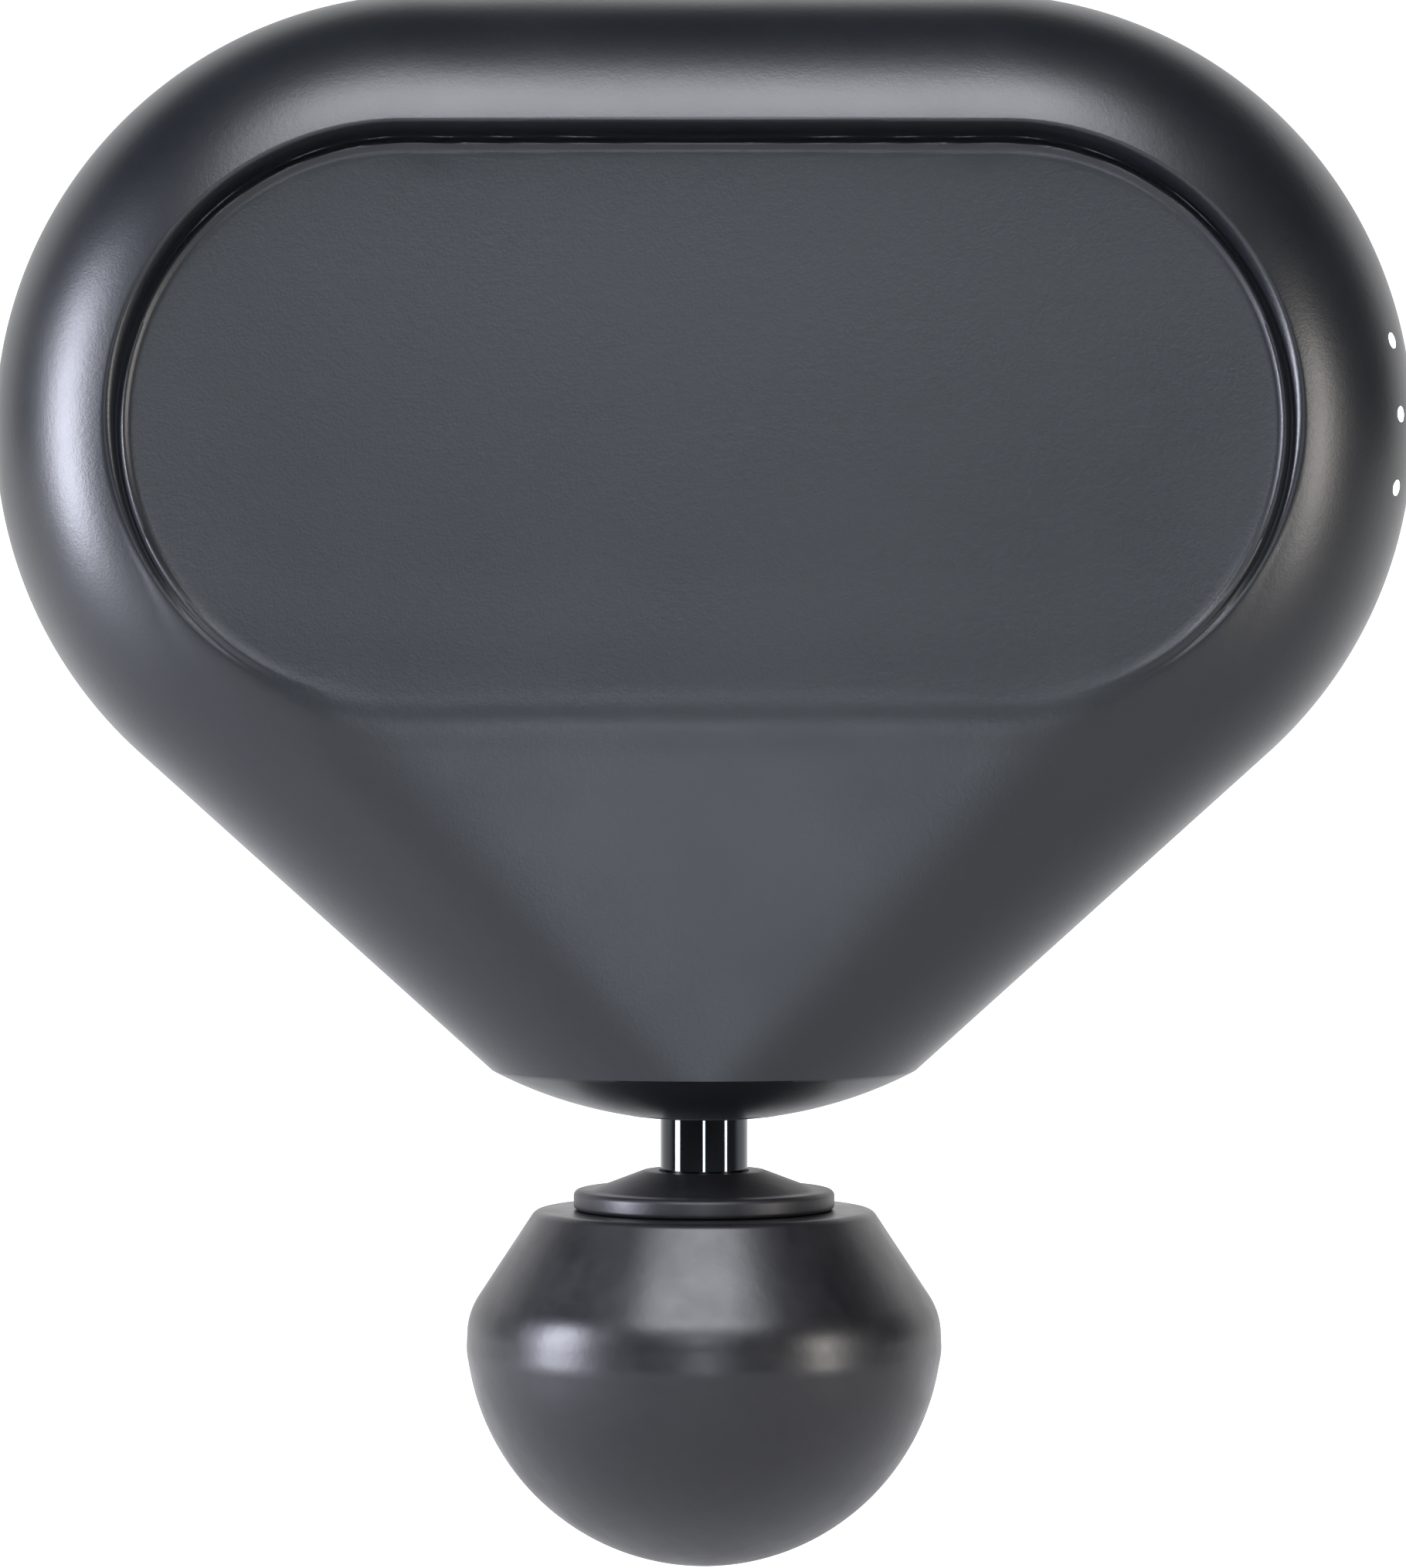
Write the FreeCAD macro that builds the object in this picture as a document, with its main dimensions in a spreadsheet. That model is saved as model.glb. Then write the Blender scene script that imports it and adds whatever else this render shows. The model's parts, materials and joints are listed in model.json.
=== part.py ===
"""A hand-held percussion massager: a rounded-triangle body, a short reciprocating shaft and a ball head.

Frame: millimetres, +Z up, the head pointing down.  The shaft's axis is the Z axis, the front face looks
towards -Y, and the origin is the lowest point of the ball head.
"""
import FreeCAD, Part
import math
import os
import re
import Sketcher
from FreeCAD import Placement, Rotation, Vector

doc = FreeCAD.newDocument("massage_gun")
sheet = doc.addObject("Spreadsheet::Sheet", "Dims")

# ------------------------------------------------------------------------------ driving dimensions
CELLS = [
    # body outline, seen from the front
    ("arc_radius", 41.9), ("arc_x", 26.4), ("arc_z", 110.1), ("slant_deg", 42.06),
    ("neck_z", 47.9), ("dome_radius", 41.9), ("dome_z", 42.9),
    # body section
    ("half_thick", 22.0), ("neck_taper", 2.2), ("rim_round", 19.0),
    ("skin_wall", 1.0), ("shell_wall", 1.8),
    # grip recess
    ("recess_radius", 28.15), ("recess_half_length", 28.15), ("recess_low_z", 84.1), ("recess_low_y", 20.9),
    ("recess_high_z", 139.2), ("recess_high_y", 17.8),
    # drive line
    ("crank_z", 100.0), ("crank_throw", 6.0), ("linear_slack", 1.35), ("shaft_radius", 4.25),
    ("shaft_tip_z", 16.0),
    ("spigot_radius", 3.0), ("spigot_low", 77.0), ("spigot_high", 87.0), ("run_clear", 0.04),
    ("roller_radius", 5.0), ("crank_pin_radius", 2.0), ("motor_shaft_radius", 2.5), ("rotor_radius", 21.3),
    ("yoke_back", -2.7), ("yoke_thick", 5.0), ("yoke_half", 14.6), ("yoke_rail", 3.0),
    ("bush_radius", 6.4), ("sleeve_radius", 9.4), ("sleeve_low", 48.4), ("sleeve_high", 64.0),
    ("plate_back", 4.0), ("plate_thick", 2.2), ("nose_hole", 7.4),
    # battery
    ("cell_radius", 9.1), ("cell_length", 65.0), ("cell_x", 31.9), ("cell_z", 110.0),
    # controls on the right edge
    ("button_z", 110.6), ("button_length", 14.6), ("button_width", 7.4), ("button_proud", 0.4),
    ("button_gap", 0.25), ("led_z", 111.3), ("led_pitch", 7.0), ("led_y", -11.4), ("led_radius", 0.75),
    ("side_board_x", 58.6),
    # charging socket on the left edge
    ("port_z", 110.0), ("port_width", 9.0), ("port_height", 3.3), ("port_depth", 7.4),
    # head
    ("ball_radius", 23.15), ("head_top_z", 34.6), ("head_top_radius", 16.2), ("head_slope", 0.65),
    ("core_radius", 9.0), ("core_low_z", 12.0), ("flange_radius", 12.7), ("flange_thick", 1.9),
    ("collar_low_radius", 10.9), ("collar_high_radius", 6.3), ("collar_top_z", 38.4), ("head_clear", 0.06),
]
for row, (alias, value) in enumerate(CELLS, start=1):
    sheet.set(f"A{row}", alias)
    sheet.set(f"B{row}", str(value))
    sheet.setAlias(f"B{row}", alias)
doc.recompute()
ALIASES = {alias for alias, _ in CELLS}
PARTS = {}


def dim(alias):
    """The value of a driving dimension."""
    return float(sheet.get(alias))


def bound(expression):
    """The expression with every driving dimension's name pointing at the sheet."""
    return re.sub(r"[A-Za-z_]+", lambda m: "Dims." + m[0] if m[0] in ALIASES else m[0], str(expression))


def bind(obj, **values):
    """Sets properties of obj to expressions over the driving dimensions."""
    for prop, expression in values.items():
        obj.setExpression(prop, bound(expression))
    return obj


def place(obj, at, rotation=None):
    """Puts obj at three bound coordinates, turned by rotation."""
    if rotation is not None:
        obj.Placement = Placement(Vector(), rotation)
    for axis, expression in zip("xyz", at):
        obj.setExpression(f"Placement.Base.{axis}", bound(expression))
    return obj


ALONG = {"Z": Rotation(), "Y": Rotation(Vector(1, 0, 0), -90), "X": Rotation(Vector(0, 1, 0), 90)}


def cylinder(name, radius, length, at, along="Z"):
    """A cylinder whose base centre is at the given point and whose axis runs along +X, +Y or +Z."""
    obj = doc.addObject("Part::Cylinder", name)
    bind(obj, Radius=radius, Height=length)
    return place(obj, at, ALONG[along])


def box(name, size, centre):
    """A box given by its three sizes and its centre."""
    obj = doc.addObject("Part::Box", name)
    bind(obj, Length=size[0], Width=size[1], Height=size[2])
    return place(obj, [f"({c}) - ({s}) / 2" for c, s in zip(centre, size)])


def pill(name, size, centre, along):
    """A block with two round ends: size is (long side on Z, short side on Y, depth along the axis)."""
    long_side, short_side, depth = size
    x, y, z = centre
    straight = f"({long_side}) - ({short_side})"
    middle = box(name + "_middle", (depth, short_side, straight), centre)
    ends = [
        cylinder(f"{name}_end{i}", f"({short_side}) / 2", depth,
                 (f"({x}) - ({depth}) / 2", y, f"({z}) {sign} ({straight}) / 2"), along)
        for i, sign in enumerate("+-")
    ]
    return fuse(name, middle, *ends)


def fuse(name, *shapes):
    obj = doc.addObject("Part::MultiFuse", name)
    obj.Shapes = list(shapes)
    obj.Refine = True
    return obj


def group(name, *shapes):
    """Separate solids that share one node."""
    obj = doc.addObject("Part::Compound", name)
    obj.Links = list(shapes)
    return obj


def cut(name, base, *tools):
    obj = doc.addObject("Part::Cut", name)
    obj.Base = base
    obj.Tool = tools[0] if len(tools) == 1 else group(name + "_tools", *tools)
    return obj


def common(name, first, second):
    obj = doc.addObject("Part::Common", name)
    obj.Base = first
    obj.Tool = second
    return obj


def ring(name, outer, inner, length, at, along="Z"):
    """A tube with the given outer and inner radii."""
    return cut(name, cylinder(name + "_outer", outer, length, at, along),
               cylinder(name + "_inner", inner, length, at, along))


def keep(node, obj):
    """Makes obj a sub-part: its label names the node and its file."""
    obj.Label = node
    PARTS[node] = obj
    return obj


def number_of(expression):
    """The number that an expression over the driving dimensions gives now."""
    probe = doc.getObject("Probe") or doc.addObject("App::FeaturePython", "Probe")
    if "Value" not in probe.PropertiesList:
        probe.addProperty("App::PropertyFloat", "Value")
    probe.setExpression("Value", bound(expression))
    probe.recompute()
    return probe.Value


def turned(name, profile):
    """A body revolved about the Z axis from a closed profile of (radius, height) pairs, each bound."""
    body = doc.addObject("PartDesign::Body", name)
    sketch = body.newObject("Sketcher::SketchObject", name + "_profile")
    origin_plane = next(f for f in body.Origin.OriginFeatures if f.Role == "XZ_Plane")
    sketch.AttachmentSupport = [(origin_plane, "")]
    sketch.MapMode = "FlatFace"
    corners = [Vector(number_of(radius), number_of(height), 0) for radius, height in profile]
    count = len(profile)
    for i, corner in enumerate(corners):
        sketch.addGeometry(Part.LineSegment(corner, corners[(i + 1) % count]), False)
    for i in range(count):
        sketch.addConstraint(Sketcher.Constraint("Coincident", i, 2, (i + 1) % count, 1))
    for i, (radius, height) in enumerate(profile):
        sides = (("DistanceX", radius, corners[i].x), ("DistanceY", height, corners[i].y))
        for kind, expression, value in sides:
            index = sketch.addConstraint(Sketcher.Constraint(kind, -1, 1, i, 1, value))
            sketch.setExpression(f"Constraints[{index}]", bound(expression))
    revolve = body.newObject("PartDesign::Revolution", name + "_turn")
    revolve.Profile = sketch
    revolve.ReferenceAxis = (sketch, ["V_Axis"])
    revolve.Angle = 360
    body.Tip = revolve
    sketch.Visibility = False
    return body


# ------------------------------------------------------------------------------ body form
SLANT = math.radians(dim("slant_deg"))
LONG = 200


def rounded(name, base, radius, chosen):
    """The base with the edges that chosen picks rounded to one radius."""
    doc.recompute()
    fillet = doc.addObject("Part::Fillet", name)
    fillet.Base = base
    fillet.Edges = [(i, radius, radius) for i, edge in enumerate(base.Shape.Edges, start=1) if chosen(edge)]
    return fillet


def tapered(name, low, high):
    """A block symmetric about the XZ plane between two planes; low and high are (z, half thickness)."""
    obj = bind(doc.addObject("Part::Wedge", name), Xmin=-LONG, Xmax=LONG, X2min=-LONG, X2max=LONG,
               Ymin=low[0], Ymax=high[0], Zmin=f"-({low[1]})", Zmax=low[1],
               Z2min=f"-({high[1]})", Z2max=high[1])
    obj.Placement = Placement(Vector(), Rotation(Vector(1, 0, 0), 90))
    return obj


def stadium(name, radius, half_length, half_depth):
    """A block with two round ends, seen from the front, centred on the upper body."""
    depth = f"2 * ({half_depth})"
    ends = [cylinder(f"{name}_end{i}", radius, depth, (x, f"-({half_depth})", "arc_z"), "Y")
            for i, x in enumerate((f"-({half_length})", half_length))]
    bar = box(f"{name}_bar", (f"2 * ({half_length})", depth, f"2 * ({radius})"), (0, 0, "arc_z"))
    return fuse(name, bar, *ends)


def body_form(name, inset):
    """The body moved inwards by inset: a rounded plate, slanted sides and a shallow dome below."""
    radius = f"(arc_radius - ({inset}))"
    half = f"(half_thick - ({inset}))"
    edge = dim("rim_round") - inset
    flat = dim("half_thick") - inset
    plate = rounded(f"{name}_plate", stadium(f"{name}_upper", radius, "arc_x", half), edge,
                    lambda e: e.BoundBox.YLength < 0.01 and abs(abs(e.BoundBox.YMin) - flat) < 0.01)
    sine = "sin(slant_deg * 1 deg)"
    cosine = "cos(slant_deg * 1 deg)"
    slab = bind(doc.addObject("Part::Box", f"{name}_slab"), Length=LONG, Width=f"2 * {half}", Height=LONG)
    place(slab, (f"arc_x + {radius} * {sine} - {LONG} * ({sine} + {cosine})", f"-{half}",
                 f"arc_z - {radius} * {cosine} + {LONG} * ({cosine} - {sine})"),
          Rotation(Vector(0, 1, 0), 90 - dim("slant_deg")))
    outward = Vector(math.sin(SLANT), 0, -math.cos(SLANT))
    reach = dim("arc_x") * math.sin(SLANT) + dim("arc_radius") - inset - dim("arc_z") * math.cos(SLANT)

    def on_slant(e):
        """True for the two long edges of the slab's outer side."""
        return all(abs(v.Point.dot(outward) - reach) < 0.01 for v in e.Vertexes) and e.BoundBox.YLength < 0.01

    right = rounded(f"{name}_right", slab, edge, on_slant)
    left = doc.addObject("Part::Mirroring", f"{name}_left")
    left.Source = right
    left.Normal = Vector(1, 0, 0)
    lower_room = box(f"{name}_lower_room", (2 * LONG, LONG, "arc_z"), (0, 0, "arc_z / 2"))
    thin = f"half_thick - neck_taper - ({inset})"
    slope = "neck_taper / (recess_low_z - neck_z)"
    neck = tapered(f"{name}_neck", (0, f"{thin} - neck_z * {slope}"),
                   (LONG, f"{thin} + ({LONG} - neck_z) * {slope}"))
    lower = doc.addObject("Part::MultiCommon", f"{name}_lower")
    lower.Shapes = [right, left, lower_room, neck]
    ball = bind(doc.addObject("Part::Sphere", f"{name}_dome"), Radius=f"dome_radius - ({inset})")
    place(ball, (0, 0, "dome_z + dome_radius"))
    above = box(f"{name}_above", (2 * LONG, LONG, LONG), (0, 0, f"neck_z + 6 + {LONG} / 2"))
    return common(name, fuse(f"{name}_whole", plate, lower), fuse(f"{name}_domed", ball, above))


def casing_form(name, inset):
    """The body form with its two grip recesses, moved inwards by inset."""
    well = stadium(f"{name}_well", f"recess_radius + ({inset})", "recess_half_length", 40)
    slope = "(recess_low_y - recess_high_y) / (recess_high_z - recess_low_z)"
    floors = tapered(f"{name}_floors", (0, f"recess_low_y - ({inset}) + recess_low_z * {slope}"),
                     (LONG, f"recess_low_y - ({inset}) - ({LONG} - recess_low_z) * {slope}"))
    return cut(name, body_form(f"{name}_body", inset), cut(f"{name}_recess", well, floors))


outer = casing_form("outer_form", 0)
middle = casing_form("middle_form", dim("skin_wall"))
cavity = casing_form("cavity_form", dim("skin_wall") + dim("shell_wall"))
raised = body_form("raised_form", -dim("button_proud"))
skin_ring = cut("skin_ring", outer, middle)
shell_ring = cut("shell_ring", middle, cavity)


def halves(name, whole, *tools):
    """The front and rear halves of a shell, with the same tools cut from both."""
    pair = []
    for side, sign in (("front", "-"), ("rear", "")):
        room = box(f"{name}_{side}_room", (200, 100, 400), (0, f"{sign}50", 100))
        half = common(f"{name}_{side}_half", whole, room)
        pair.append(cut(f"{name}_{side}_cut", half, *tools))
    return pair


nose_bore = cylinder("nose_bore", "nose_hole", 14, (0, 0, "dome_z - 4"))
opening = pill("button_opening", ("button_length + 2 * button_gap", "button_width + 2 * button_gap", 12),
               (66, 0, "button_z"), "X")
port_opening = pill("port_opening", ("port_width", "port_height", 12), (-66, 0, "port_z"), "X")
LED_HEIGHTS = [f"led_z + {step} * led_pitch" for step in (1, 0, -1)]
led_holes = [cylinder(f"led_hole{i}", "led_radius", 10, (60, "led_y", z), "X")
             for i, z in enumerate(LED_HEIGHTS)]
openings = [nose_bore, opening, port_opening] + led_holes

front_skin, rear_skin = halves("skin", skin_ring, *openings)
keep("front_skin", front_skin)
keep("rear_skin", rear_skin)

# Screw bosses join the two shell halves; each screw comes in from the rear, below the skin.
BOSSES = [(-46, 80), (46, 80), (-46, 139), (46, 139), (0, 143), (-14.5, 57), (14.5, 57)]
FRAME_POSTS = [(-14, 125.5), (14, 125.5), (-16, 68), (16, 68)]
BOARD_POSTS = [(-17, 123), (17, 123), (-17, 136.5), (17, 136.5)]
front_shell, rear_shell = halves("shell", shell_ring, *openings)


def rods(name, places, radius, start, length):
    """Cylinders along +Y that begin at y = start, one for each (x, z) place."""
    return [cylinder(f"{name}{i}", radius, length, (x, start, z), "Y") for i, (x, z) in enumerate(places)]


front_boss = rods("front_boss", BOSSES, 3.4, -24, 24) + rods("board_post", BOARD_POSTS, 2.2, -24, 14.4)
rear_boss = rods("rear_boss", BOSSES, 3.4, 0, 24) + rods("frame_post", FRAME_POSTS, 3.2, 4.6, 24)
front_inside = common("front_inside", group("front_bosses", *front_boss), cavity)
rear_inside = common("rear_inside", group("rear_bosses", *rear_boss), cavity)
pilots = rods("pilot", BOSSES, 1.15, -9, 9) + rods("board_pilot", BOARD_POSTS, 0.8, -13.6, 4)
through = rods("through", BOSSES, 1.15, -0.1, 8.2) + rods("counterbore", BOSSES, 2.3, 8, 20)
through += rods("frame_pilot", FRAME_POSTS, 1.5, 4.5, 6)
keep("front_shell", cut("front_shell_part", fuse("front_shell_whole", front_shell, front_inside), *pilots))
keep("rear_shell", cut("rear_shell_part", fuse("rear_shell_whole", rear_shell, rear_inside), *through))


def screws(node, places, shank, reach, head, head_at, thick):
    """Screws along Y: a shank over the span reach = (start, end), with a head from head_at."""
    shanks = rods(f"{node}_shank", places, shank, reach[0], reach[1] - reach[0])
    heads = rods(f"{node}_head", places, head, head_at, thick)
    made = [fuse(f"{node}_{i}", *pair) for i, pair in enumerate(zip(shanks, heads))]
    return keep(node, group(node, *made))


screws("casing_screws", BOSSES, 1.15, (-9, 8.1), 2.2, 8, 1.7)
screws("frame_screws", FRAME_POSTS, 1.5, (1.0, 10.5), 2.7, -0.4, 1.6)
screws("board_screws", BOARD_POSTS, 0.8, (-13.6, -7.9), 1.6, -8.0, 0.9)

keep("nose_seal", turned("nose_seal_body", [
    ("shaft_radius + 0.1", "dome_z + 0.9"), ("nose_hole", "dome_z + 0.9"), ("nose_hole", "dome_z + 4.2"),
    ("nose_hole + 1.4", "dome_z + 4.2"), ("nose_hole + 1.4", "dome_z + 5.2"),
    ("shaft_radius + 0.1", "dome_z + 5.2")]))

# ------------------------------------------------------------------------------ drive frame
plate_front = "plate_back - plate_thick"
plate_mid = "plate_back - plate_thick / 2"
plate = [cylinder("motor_pad", 19, "plate_thick", (0, plate_front, "crank_z"), "Y"),
         box("leg_left", (5, "plate_thick", 26), (-11.5, plate_mid, 74)),
         box("leg_right", (5, "plate_thick", 26), (11.5, plate_mid, 74)),
         box("top_bar", (28, "plate_thick", 8), (0, plate_mid, 121)),
         box("foot_bar", (32, "plate_thick", 3.2), (0, plate_mid, 62.4)),
         cylinder("sleeve_block", "sleeve_radius", "sleeve_high - sleeve_low", (0, 0, "sleeve_low"))]
plate += rods("lug", FRAME_POSTS, 6.4, plate_front, "plate_thick")
lug_holes = rods("lug_hole", FRAME_POSTS, 4.5, 0, 6)
keep("drive_frame", cut("drive_frame_part", fuse("drive_frame_whole", *plate), *lug_holes,
                        cylinder("pad_hole", 6, 6, (0, 0, "crank_z"), "Y"),
                        box("boss_slot", (13, 6, 28), (0, 3, 74)),
                        cylinder("sleeve_bore", "bush_radius", 20, (0, 0, "sleeve_low - 1"))))
keep("guide_bushes", group("guide_bush_pair", *[
    ring(f"guide_bush{i}", "bush_radius", "shaft_radius + run_clear", 6, (0, 0, z))
    for i, z in enumerate((48.6, 57.6))]))
grommet_stack = zip(rods("grommet_core", FRAME_POSTS, 4.5, plate_front, "plate_thick"),
                    rods("grommet_face", FRAME_POSTS, 5.4, "plate_back", 0.6),
                    rods("grommet_lip", FRAME_POSTS, 5.4, f"{plate_front} - 0.6", 0.6))
grommet_bores = rods("grommet_bore", FRAME_POSTS, 1.5, 0, 8)
keep("isolation_grommets", group("grommets", *[
    cut(f"grommet{i}", fuse(f"grommet_whole{i}", *stack), bore)
    for i, (stack, bore) in enumerate(zip(grommet_stack, grommet_bores))]))

# ------------------------------------------------------------------------------ motor
AXLE = (0, "plate_back", "crank_z")


def on_circle(radius, index, count):
    """The x and z of one of count places round the motor's axis."""
    angle = 360.0 * index / count
    return f"{radius} * cos({angle} deg)", f"crank_z + {radius} * sin({angle} deg)"


motor_hub = cylinder("motor_hub", 7.5, 9, AXLE, "Y")
motor_flange = cylinder("motor_flange", 12, 1.2, AXLE, "Y")
keep("motor_base", cut("motor_base_part", fuse("motor_base_whole", motor_hub, motor_flange),
                       cylinder("bearing_seat", 5.5, 9.1, AXLE, "Y")))
keep("motor_bearings", group("bearing_pair", *[
    ring(f"bearing{i}", 5.5, "motor_shaft_radius + 0.02", 3.8, (0, y, "crank_z"), "Y")
    for i, y in enumerate((4.2, 9.1))]))
slot_places = [on_circle(13, i, 12) for i in range(12)]
slots = rods("slot", slot_places, 2.2, 5.6, 8)
bundles = rods("bundle", slot_places, 2.2, 6.3, 6.2)
stator_ring = ring("stator_ring", 17.5, 7.5, 6, (0, 6.4, "crank_z"), "Y")
keep("stator_core", cut("stator_core_part", stator_ring, *slots))
keep("stator_windings", fuse("windings", *bundles,
                             ring("end_turns_front", 15.1, 10.9, 0.9, (0, 5.5, "crank_z"), "Y"),
                             ring("end_turns_rear", 15.1, 10.9, 0.9, (0, 12.4, "crank_z"), "Y")))
vents = rods("vent", [on_circle(12, i, 6) for i in range(6)], 3.2, 13.4, 3)
can_wall = ring("can_wall", "rotor_radius", "rotor_radius - 1.2", 9, (0, 5.8, "crank_z"), "Y")
can_end = ring("can_end", "rotor_radius", "motor_shaft_radius", 1, (0, 13.9, "crank_z"), "Y")
keep("rotor_can", cut("rotor_can_part", fuse("rotor_can_whole", can_wall, can_end), *vents))
magnet_ring = ring("magnet_ring", "rotor_radius - 1.2", 18.1, 6.4, (0, 6.2, "crank_z"), "Y")
gaps = []
for i in range(7):
    turn = Rotation(Vector(0, 1, 0), 180.0 * i / 7)
    corner = turn.multVec(Vector(-25, 4, -0.4))
    gap = bind(doc.addObject("Part::Box", f"magnet_gap{i}"), Length=50, Width=10, Height=0.8)
    gaps.append(place(gap, (corner.x, corner.y, f"crank_z + {corner.z}"), turn))
keep("rotor_magnets", cut("rotor_magnets_part", magnet_ring, *gaps))
keep("motor_shaft", cylinder("motor_shaft_rod", "motor_shaft_radius", 16.9, (0, -2, "crank_z"), "Y"))

# ------------------------------------------------------------------------------ crank and ram
pin_z = "crank_z + crank_throw"
counterweight = common("counterweight", cylinder("weight_disc", 12, 3, (0, -2, "crank_z"), "Y"),
                       box("weight_room", (24, 4, 12), (0, -0.5, "crank_z - 6")))
crank_hub = cylinder("crank_hub", 8.6, 3, (0, -2, "crank_z"), "Y")
keep("crank_disc", cut("crank_disc_part", fuse("crank_disc_whole", crank_hub, counterweight),
                       cylinder("crank_bore", "motor_shaft_radius", 6, (0, -3, "crank_z"), "Y"),
                       cylinder("pin_bore", "crank_pin_radius", 6, (0, -3, pin_z), "Y")))
keep("crank_pin", cylinder("crank_pin_rod", "crank_pin_radius", 8.6, (0, -7.8, pin_z), "Y"))
keep("crank_roller", ring("crank_roller_part", "roller_radius", "crank_pin_radius", 4, (0, -7.2, pin_z), "Y"))

yoke_front = "yoke_back - yoke_thick"
yoke_mid = "yoke_back - yoke_thick / 2"
slot_height = "2 * (roller_radius + linear_slack)"
yoke_height = f"{slot_height} + 2 * yoke_rail"
slot_width = "2 * (crank_throw + roller_radius + 0.5)"
yoke = [box("yoke_block", ("2 * yoke_half", "yoke_thick", yoke_height), (0, yoke_mid, pin_z)),
        box("yoke_stem", (10, "yoke_thick", 20), (0, yoke_mid, "spigot_high + 1")),
        cylinder("yoke_boss", 5.2, "spigot_high - spigot_low", (0, 0, "spigot_low"))]
keep("drive_yoke", cut("drive_yoke_part", fuse("drive_yoke_whole", *yoke),
                       box("yoke_slot", (slot_width, 12, slot_height), (0, yoke_mid, pin_z)),
                       cylinder("spigot_bore", "spigot_radius", 11, (0, 0, "spigot_low - 1")),
                       cylinder("cross_bore", 1.2, 12, (-6, 0, 81), "X")))
keep("yoke_pin", cylinder("yoke_pin_rod", 1.2, 10, (-5, 0, 81), "X"))
groove_tools = [ring(f"groove{i}", 6, 3.6, 1.4, (0, 0, z)) for i, z in enumerate((20, 26))]
shaft_rod = cylinder("shaft_rod", "shaft_radius", "spigot_low - shaft_tip_z", (0, 0, "shaft_tip_z"))
spigot = cylinder("spigot", "spigot_radius", "spigot_high - spigot_low", (0, 0, "spigot_low"))
rod = fuse("shaft_whole", shaft_rod, spigot)
keep("massage_shaft", cut("massage_shaft_part", rod, *groove_tools,
                          cylinder("shaft_cross_bore", 1.2, 12, (-6, 0, 81), "X")))
keep("grip_rings", group("grip_ring_pair", *[
    ring(f"grip_ring{i}", "shaft_radius + 0.03", 3.6, 1.4, (0, 0, z)) for i, z in enumerate((20, 26))]))

# ------------------------------------------------------------------------------ battery
CELLS_AT = ("-cell_x", "cell_x")
cell_low = "cell_z - cell_length / 2"
keep("battery_cells", group("cell_pair", *[
    cylinder(f"cell{i}", "cell_radius", "cell_length", (x, 0, cell_low)) for i, x in enumerate(CELLS_AT)]))
tabs = []
leads = []
saddles = []
for i, x in enumerate(CELLS_AT):
    tabs.append(cylinder(f"tab_top{i}", 4, 0.3, (x, 0, "cell_z + cell_length / 2")))
    tabs.append(cylinder(f"tab_low{i}", 4, 0.3, (x, 0, f"{cell_low} - 0.3")))
    leads.append(cylinder(f"lead_rise{i}", 0.6, 4.6, (x, 0, "cell_z + cell_length / 2 + 0.3")))
    for level, z in (("top", 132), ("low", 88)):
        block = common(f"saddle_fit_{level}{i}", box(f"saddle_{level}{i}", (15, 20, 4), (x, 14, z)), cavity)
        seat = cylinder(f"saddle_bore_{level}{i}", "cell_radius", 8, (x, 0, z - 4))
        saddles.append(cut(f"saddle_part_{level}{i}", block, seat))
leads.append(cylinder("lead_run", 0.6, "2 * cell_x", ("-cell_x", 0, "cell_z + cell_length / 2 + 4.9"), "X"))
keep("battery_tabs", group("tab_set", *tabs))
keep("battery_leads", fuse("lead_wires", *leads))
keep("battery_saddles", group("saddle_set", *saddles))

# ------------------------------------------------------------------------------ control board
board_blank = box("control_board_blank", (40, 1.6, 19.5), (0, -8.8, 129.75))
keep("control_board", cut("control_board_part", board_blank, *rods("board_hole", BOARD_POSTS, 0.8, -10.6, 4)))
keep("board_components", group("component_set",
                               box("controller_chip", (7, 1, 7), (-2, -10.1, 131)),
                               box("driver_chip", (5, 0.9, 5), (7, -10.05, 126)),
                               box("coil", (5, 2.6, 5), (8, -10.9, 134)),
                               box("lead_socket", (8, 3, 4), (-10, -11.1, 125)),
                               cylinder("capacitor", 2.2, 3.4, (-10, -13.0, 134), "Y")))

# ------------------------------------------------------------------------------ right edge controls
keep("side_board", box("side_board_blank", (1.2, 20.4, 24), ("side_board_x", -3.0, "button_z")))
lamps = []
lenses = []
for i, z in enumerate(LED_HEIGHTS):
    lamps.append(box(f"lamp{i}", (0.8, 1.6, 2), ("side_board_x + 1.0", "led_y", z)))
    pipe = cylinder(f"light_pipe{i}", "led_radius", 10, ("side_board_x + 1.6", "led_y", z), "X")
    lenses.append(common(f"lens{i}", pipe, outer))
keep("status_lamps", group("lamp_set", *lamps))
keep("led_lenses", group("lens_set", *lenses))
switch_block = box("switch_block", (2, 6, 6), ("side_board_x + 1.6", 0, "button_z"))
keep("tactile_switch", cut("tactile_switch_part", switch_block,
                           cylinder("switch_bore", 1.5, 3, ("side_board_x + 1.4", 0, "button_z"), "X")))
column = pill("button_column", ("button_length", "button_width", 14), (69.4, 0, "button_z"), "X")
flange = pill("button_flange", ("button_length + 2", "button_width + 2", 1.2), (63, 0, "button_z"), "X")
keep("power_button", fuse("power_button_part", common("button_cap", column, raised), flange))
keep("switch_plunger", cylinder("plunger_rod", 1.4, 1.8, (60.6, 0, "button_z"), "X"))

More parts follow.
